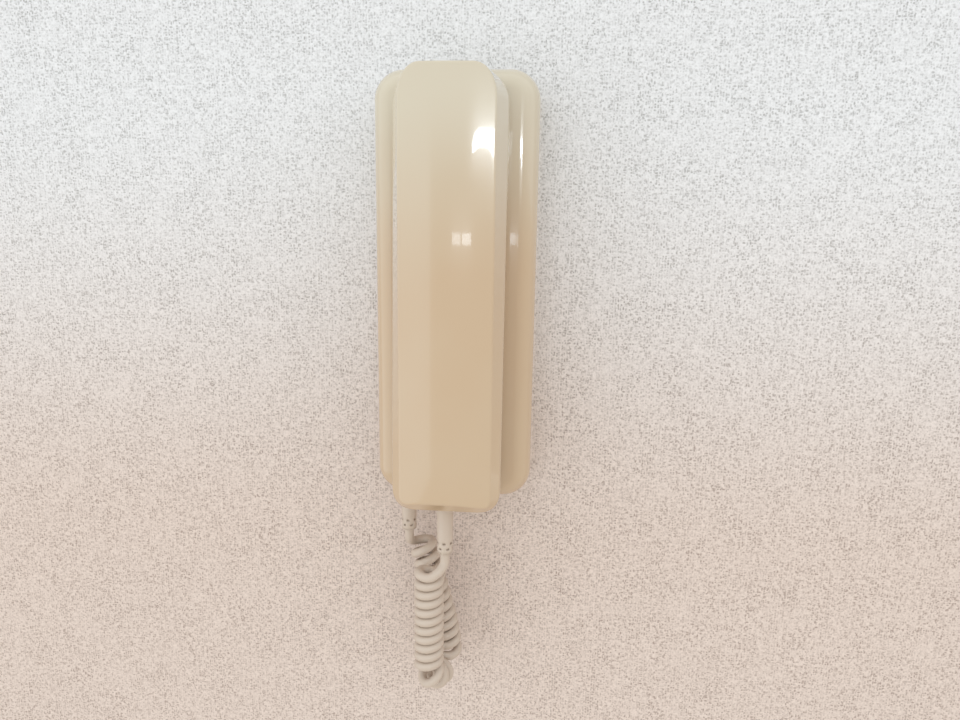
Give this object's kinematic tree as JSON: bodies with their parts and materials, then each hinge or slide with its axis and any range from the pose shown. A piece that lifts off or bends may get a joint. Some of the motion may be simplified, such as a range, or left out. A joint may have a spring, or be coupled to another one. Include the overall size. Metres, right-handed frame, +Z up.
{
  "type": "wall telephone",
  "caption": "Slim wall telephone with a long bar handset hung flat on a rounded base and a coiled cord below.",
  "frame": {"origin": "middle of the two wall holes, in the wall plane", "axes": "+X to the viewer's right, +Y into the wall, +Z up"},
  "size_m": [0.078, 0.0595, 0.3158],
  "materials": {
    "shell_plastic": "aged cream, glossy",
    "tray_plastic": "matt",
    "cord_plastic": "soft sheen",
    "steel": "zinc plated",
    "brass": "plain",
    "board": "phenolic board",
    "dark_plastic": "matt",
    "speaker_metal": "satin",
    "cloth": "woven",
    "soft_rubber": "matt",
    "capsule_metal": "satin"
  },
  "bodies": {
    "base": {"base_front_cover": "shell_plastic", "base_chassis": "tray_plastic", "hook_plunger_guide": "tray_plastic", "call_button_guide": "tray_plastic", "terminal_block": "tray_plastic", "curly_cord": "cord_plastic", "base_cord_relief": "cord_plastic", "wall_bracket": "steel", "speaker_clamp": "steel", "cover_screws": "steel", "board_screws": "steel", "speaker_clamp_screws": "steel", "hook_plunger_spring": "steel", "call_button_spring": "steel", "terminal_screws": "brass", "main_board": "board", "hook_switch": "dark_plastic", "call_button_switch": "dark_plastic", "volume_switch": "dark_plastic", "board_capacitors": "dark_plastic", "ringer_speaker": "speaker_metal", "line_transformer": "speaker_metal", "speaker_cloth": "cloth"},
    "handset": {"handset_front_shell": "shell_plastic", "handset_rear_shell": "shell_plastic", "receiver_capsule": "dark_plastic", "receiver_gasket": "soft_rubber", "receiver_clamp": "steel", "receiver_clamp_screws": "steel", "microphone_capsule": "capsule_metal", "microphone_boot": "soft_rubber", "ballast_weight": "steel", "ballast_screws": "steel", "link_board": "board", "link_board_screws": "steel", "handset_screws": "steel", "handset_cord_relief": "cord_plastic"},
    "plunger": {"hook_plunger": "tray_plastic"},
    "button": {"call_button": "shell_plastic"},
    "volume_slider": {"volume_knob": "shell_plastic"}
  },
  "joints": [
    {"name": "handset_lift", "type": "slide", "parent": "base", "child": "handset", "axis": [0, -0.8575, 0.5145], "range_m": [0, 0.08]},
    {"name": "hook_plunger_slide", "type": "slide", "parent": "base", "child": "plunger", "axis": [0, -1, 0], "range_m": [0, 0.0035], "deforming": ["hook_plunger_spring"]},
    {"name": "call_button_press", "type": "slide", "parent": "base", "child": "button", "axis": [0, 1, 0], "range_m": [0, 0.0012], "stiffness_N_per_m": 400, "deforming": ["call_button_spring"]},
    {"name": "volume_slide", "type": "slide", "parent": "base", "child": "volume_slider", "axis": [1, 0, 0], "range_m": [-0.003, 0.003]}
  ],
  "couplings": [
    {"joint": "hook_plunger_slide", "follows": "handset_lift", "ratio": 0.04375}
  ]
}
